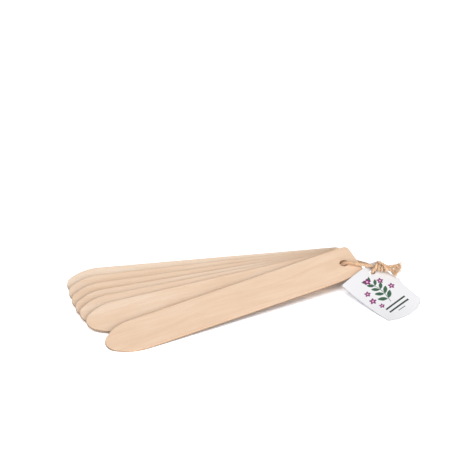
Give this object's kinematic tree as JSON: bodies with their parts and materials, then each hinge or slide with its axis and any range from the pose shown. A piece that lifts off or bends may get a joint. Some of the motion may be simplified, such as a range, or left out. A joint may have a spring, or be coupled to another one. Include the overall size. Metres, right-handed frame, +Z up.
{
  "type": "plant label stake bundle",
  "caption": "Thin wooden plant label stakes with tapered tips, fanned on a jute twine tied through their holes, with a card hang tag.",
  "frame": {"origin": "middle of the bottom stake's underside, on its centre line", "axes": "+X along the bottom stake to its drilled end, -Y to the side where the tips fan out, +Z up from the table"},
  "size_m": [0.2483, 0.0961, 0.0155],
  "materials": {
    "wood": "sanded, untreated pale birch",
    "twine": "twisted natural jute",
    "card": "matt white printed card"
  },
  "bodies": {
    "bundle": {"stake_1": "wood", "twine_core": "twine", "twine_upper": "twine", "twine_lower": "twine", "twine_knot": "twine", "tail_long": "twine", "tail_short": "twine"},
    "turning_stake_2": {"stake_2": "wood"},
    "turning_stake_3": {"stake_3": "wood"},
    "turning_stake_4": {"stake_4": "wood"},
    "turning_stake_5": {"stake_5": "wood"},
    "turning_stake_6": {"stake_6": "wood"},
    "turning_stake_7": {"stake_7": "wood"},
    "swinging_tag": {"hang_tag": "card"}
  },
  "joints": [
    {"name": "stake_2_turn", "type": "hinge", "parent": "bundle", "child": "turning_stake_2", "pos_m": [0.0899, -0.00295, 0.00113], "axis": [0, -0.1487, 0.9889], "range_deg": [-22.2, 0]},
    {"name": "stake_3_turn", "type": "hinge", "parent": "bundle", "child": "turning_stake_3", "pos_m": [0.0903, -0.00581, 0.00228], "axis": [0, -0.1487, 0.9889], "range_deg": [-24.4, 0]},
    {"name": "stake_4_turn", "type": "hinge", "parent": "bundle", "child": "turning_stake_4", "pos_m": [0.0912, -0.00851, 0.00345], "axis": [0, -0.1487, 0.9889], "range_deg": [-26.5, 0]},
    {"name": "stake_5_turn", "type": "hinge", "parent": "bundle", "child": "turning_stake_5", "pos_m": [0.0925, -0.01062, 0.00471], "axis": [0, -0.1487, 0.9889], "range_deg": [-28.4, 0]},
    {"name": "stake_6_turn", "type": "hinge", "parent": "bundle", "child": "turning_stake_6", "pos_m": [0.0944, -0.01214, 0.00606], "axis": [0, -0.1487, 0.9889], "range_deg": [-31, 0]},
    {"name": "stake_7_turn", "type": "hinge", "parent": "bundle", "child": "turning_stake_7", "pos_m": [0.0983, -0.01313, 0.008], "axis": [0, -0.1487, 0.9889], "range_deg": [-38.7, 0]},
    {"name": "tag_swivel", "type": "hinge", "parent": "bundle", "child": "swinging_tag", "pos_m": [0.11718, -0.02487, 0.0082], "axis": [0, 0, 1], "range_deg": [-3, 40]}
  ]
}
